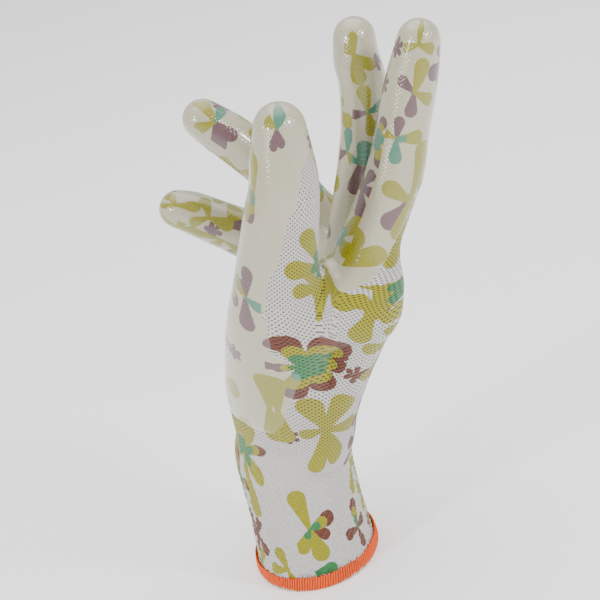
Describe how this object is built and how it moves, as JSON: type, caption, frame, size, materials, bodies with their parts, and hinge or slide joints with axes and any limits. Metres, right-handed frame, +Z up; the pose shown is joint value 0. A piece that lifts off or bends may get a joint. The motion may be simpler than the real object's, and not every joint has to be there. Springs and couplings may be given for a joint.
{
  "type": "garden glove",
  "caption": "Right-hand knitted garden glove with a dip-coated palm and fingers, printed back, ribbed cuff and bound edge; its wrist, thumb and fingers bend.",
  "frame": {"origin": "centre of the cuff's mouth, in the plane of its edge", "axes": "+Z up the cuff into the glove, -Y to the thumb's side, +X to the back of the hand, -X to the palm"},
  "size_m": [0.1169, 0.1026, 0.2108],
  "materials": {
    "knit": "seamless polyester knit, off-white with a printed flower pattern",
    "coating": "smooth translucent dip coating, wet-looking gloss",
    "edge_binding": "orange overlock thread",
    "elastic_yarn": "covered elastic yarn"
  },
  "bodies": {
    "cuff": {"cuff_edge_binding": "edge_binding", "cuff_ribbed_knit": "knit", "cuff_elastic_yarn": "elastic_yarn", "wrist_knit_sleeve": "knit"},
    "hand": {"hand_knit_shell": "knit", "palm_coating": "coating"},
    "thumb_base": {"thumb_root_sleeve": "knit", "thumb_base_knit": "knit", "thumb_base_coating": "coating"},
    "thumb_tip": {"thumb_knuckle_sleeve": "knit", "thumb_tip_knit": "knit", "thumb_tip_coating": "coating"},
    "index_proximal": {"index_root_sleeve": "knit", "index_proximal_knit": "knit", "index_proximal_coating": "coating"},
    "index_middle": {"index_middle_knuckle_sleeve": "knit", "index_middle_knit": "knit", "index_middle_coating": "coating"},
    "index_tip": {"index_end_knuckle_sleeve": "knit", "index_tip_knit": "knit", "index_tip_coating": "coating"},
    "middle_proximal": {"middle_root_sleeve": "knit", "middle_proximal_knit": "knit", "middle_proximal_coating": "coating"},
    "middle_middle": {"middle_middle_knuckle_sleeve": "knit", "middle_middle_knit": "knit", "middle_middle_coating": "coating"},
    "middle_tip": {"middle_end_knuckle_sleeve": "knit", "middle_tip_knit": "knit", "middle_tip_coating": "coating"},
    "ring_proximal": {"ring_root_sleeve": "knit", "ring_proximal_knit": "knit", "ring_proximal_coating": "coating"},
    "ring_middle": {"ring_middle_knuckle_sleeve": "knit", "ring_middle_knit": "knit", "ring_middle_coating": "coating"},
    "ring_tip": {"ring_end_knuckle_sleeve": "knit", "ring_tip_knit": "knit", "ring_tip_coating": "coating"},
    "little_proximal": {"little_root_sleeve": "knit", "little_proximal_knit": "knit", "little_proximal_coating": "coating"},
    "little_middle": {"little_middle_knuckle_sleeve": "knit", "little_middle_knit": "knit", "little_middle_coating": "coating"},
    "little_tip": {"little_end_knuckle_sleeve": "knit", "little_tip_knit": "knit", "little_tip_coating": "coating"}
  },
  "joints": [
    {"name": "wrist_bend", "type": "hinge", "parent": "cuff", "child": "hand", "pos_m": [0, 0, 0.049], "axis": [0, -1, 0], "range_deg": [-20, 60], "deforming": ["wrist_knit_sleeve"]},
    {"name": "thumb_root_bend", "type": "hinge", "parent": "hand", "child": "thumb_base", "pos_m": [0.01721, -0.04697, 0.14342], "axis": [0.6747, 0.7349, -0.0687], "range_deg": [-25, 12], "deforming": ["thumb_root_sleeve"]},
    {"name": "thumb_knuckle_bend", "type": "hinge", "parent": "thumb_base", "child": "thumb_tip", "pos_m": [0.02444, -0.0515, 0.16586], "axis": [0.6747, 0.7349, -0.0687], "range_deg": [-45, 12], "deforming": ["thumb_knuckle_sleeve"]},
    {"name": "index_root_bend", "type": "hinge", "parent": "hand", "child": "index_proximal", "pos_m": [0.04733, -0.03056, 0.1319], "axis": [-0.0115, -0.9997, -0.0235], "range_deg": [-15, 36], "deforming": ["index_root_sleeve"]},
    {"name": "index_middle_bend", "type": "hinge", "parent": "index_proximal", "child": "index_middle", "pos_m": [0.0621, -0.03134, 0.158], "axis": [-0.0115, -0.9997, -0.0235], "range_deg": [-8, 60], "deforming": ["index_middle_knuckle_sleeve"]},
    {"name": "index_end_bend", "type": "hinge", "parent": "index_middle", "child": "index_tip", "pos_m": [0.07213, -0.03207, 0.18413], "axis": [-0.0115, -0.9997, -0.0235], "range_deg": [-6, 40], "deforming": ["index_end_knuckle_sleeve"]},
    {"name": "middle_root_bend", "type": "hinge", "parent": "hand", "child": "middle_proximal", "pos_m": [0.04223, -0.0095, 0.13007], "axis": [0, -1, 0], "range_deg": [-15, 60], "deforming": ["middle_root_sleeve"]},
    {"name": "middle_middle_bend", "type": "hinge", "parent": "middle_proximal", "child": "middle_middle", "pos_m": [0.05009, -0.0095, 0.1584], "axis": [0, -1, 0], "range_deg": [-4, 74], "deforming": ["middle_middle_knuckle_sleeve"]},
    {"name": "middle_end_bend", "type": "hinge", "parent": "middle_middle", "child": "middle_tip", "pos_m": [0.05557, -0.0095, 0.18535], "axis": [0, -1, 0], "range_deg": [-3, 49], "deforming": ["middle_end_knuckle_sleeve"]},
    {"name": "ring_root_bend", "type": "hinge", "parent": "hand", "child": "ring_proximal", "pos_m": [0.03252, 0.01081, 0.12733], "axis": [0.0077, -0.9998, 0.0157], "range_deg": [-50, 20], "deforming": ["ring_root_sleeve"]},
    {"name": "ring_middle_bend", "type": "hinge", "parent": "ring_proximal", "child": "ring_middle", "pos_m": [0.02059, 0.01107, 0.14975], "axis": [0.0077, -0.9998, 0.0157], "range_deg": [-10, 68], "deforming": ["ring_middle_knuckle_sleeve"]},
    {"name": "ring_end_bend", "type": "hinge", "parent": "ring_middle", "child": "ring_tip", "pos_m": [0.00534, 0.01125, 0.16892], "axis": [0.0077, -0.9998, 0.0157], "range_deg": [-7, 45], "deforming": ["ring_end_knuckle_sleeve"]},
    {"name": "little_root_bend", "type": "hinge", "parent": "hand", "child": "little_proximal", "pos_m": [0.01869, 0.02896, 0.11753], "axis": [0.0229, -0.9986, 0.047], "range_deg": [-60, 14], "deforming": ["little_root_sleeve"]},
    {"name": "little_middle_bend", "type": "hinge", "parent": "little_proximal", "child": "little_middle", "pos_m": [0.00154, 0.02903, 0.12743], "axis": [0.0229, -0.9986, 0.047], "range_deg": [0, 74], "deforming": ["little_middle_knuckle_sleeve"]},
    {"name": "little_end_bend", "type": "hinge", "parent": "little_middle", "child": "little_tip", "pos_m": [-0.01387, 0.0291, 0.13633], "axis": [0.0229, -0.9986, 0.047], "range_deg": [0, 49], "deforming": ["little_end_knuckle_sleeve"]}
  ],
  "couplings": [
    {"joint": "index_end_bend", "follows": "index_middle_bend", "ratio": 0.66},
    {"joint": "middle_end_bend", "follows": "middle_middle_bend", "ratio": 0.66},
    {"joint": "ring_end_bend", "follows": "ring_middle_bend", "ratio": 0.66},
    {"joint": "little_end_bend", "follows": "little_middle_bend", "ratio": 0.66}
  ]
}
